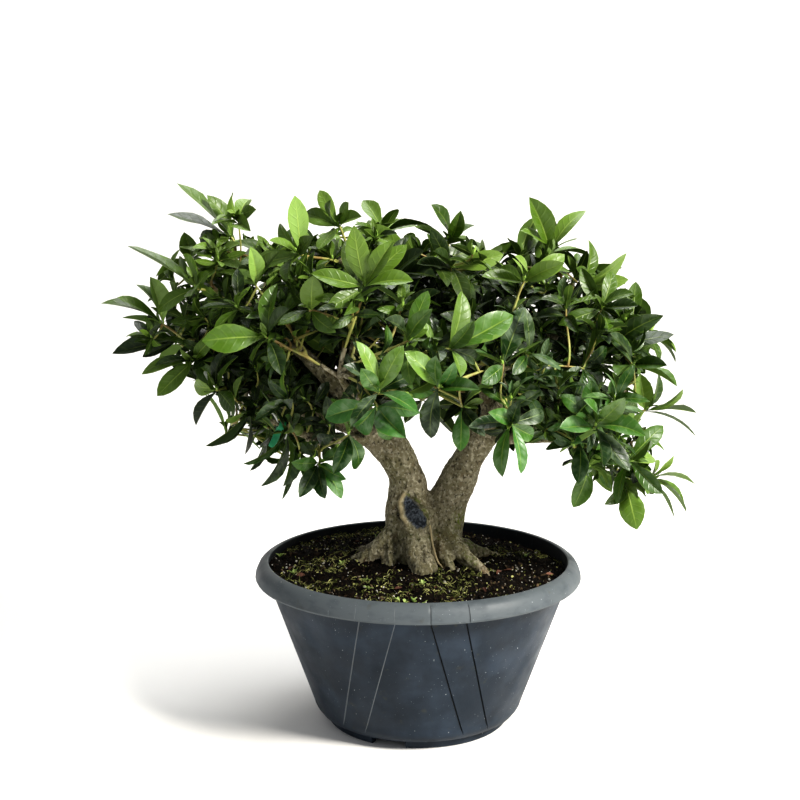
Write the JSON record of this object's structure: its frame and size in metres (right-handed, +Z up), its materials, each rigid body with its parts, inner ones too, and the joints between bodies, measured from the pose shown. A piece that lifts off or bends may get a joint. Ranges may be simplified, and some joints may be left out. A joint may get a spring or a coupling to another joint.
{
  "type": "potted azalea bonsai tree",
  "caption": "Satsuki azalea bonsai with a forked trunk, flared roots and a wide, domed crown of leafy shoots, in soil in a round plastic bowl with a rolled rim.",
  "frame": {"origin": "centre of the pot's underside, on the surface that the pot stands on", "axes": "+Z up, +X to the right seen from the front and along the crown's longest extent, -Y towards the viewer"},
  "size_m": [0.5272, 0.4028, 0.492],
  "materials": {
    "pot": "satin moulded polypropylene, dark slate grey",
    "soil": "moist, crumbly, nearly black potting mix",
    "bark": "dull grey-brown bark",
    "tape": "soft gloss film, green and white",
    "leaf": "leathery green leaf with a soft gloss"
  },
  "bodies": {
    "root": {"marker_tape": "tape", "pot": "pot", "shoot_back_high_1": "leaf", "shoot_back_high_2": "leaf", "shoot_back_high_3": "leaf", "shoot_back_high_4": "leaf", "shoot_back_high_5": "leaf", "shoot_back_high_6": "leaf", "shoot_back_inner_1": "leaf", "shoot_back_inner_2": "leaf", "shoot_back_inner_3": "leaf", "shoot_back_low_1": "leaf", "shoot_back_low_2": "leaf", "shoot_back_low_3": "leaf", "shoot_back_low_4": "leaf", "shoot_back_low_5": "leaf", "shoot_back_low_6": "leaf", "shoot_back_mid_1": "leaf", "shoot_back_mid_2": "leaf", "shoot_back_mid_3": "leaf", "shoot_back_mid_4": "leaf", "shoot_back_mid_5": "leaf", "shoot_back_mid_6": "leaf", "shoot_bright_blade": "leaf", "shoot_centre_tassel": "leaf", "shoot_crest_left": "leaf", "shoot_crest_mid": "leaf", "shoot_crest_right": "leaf", "shoot_face_centre": "leaf", "shoot_face_fan": "leaf", "shoot_face_spear": "leaf", "shoot_front_high_1": "leaf", "shoot_front_high_2": "leaf", "shoot_front_inner_1": "leaf", "shoot_front_inner_2": "leaf", "shoot_front_inner_3": "leaf", "shoot_left_crest": "leaf", "shoot_left_drip": "leaf", "shoot_left_face": "leaf", "shoot_left_reach": "leaf", "shoot_left_shoulder": "leaf", "shoot_left_skirt": "leaf", "shoot_left_tip": "leaf", "shoot_right_dip": "leaf", "shoot_right_drip": "leaf", "shoot_right_face": "leaf", "shoot_right_mid": "leaf", "shoot_right_shoulder": "leaf", "shoot_right_skirt": "leaf", "shoot_right_tassel": "leaf", "shoot_right_tip": "leaf", "shoot_under_blades": "leaf", "shoot_under_star": "leaf", "soil": "soil", "trunk": "bark"}
  },
  "joints": []
}
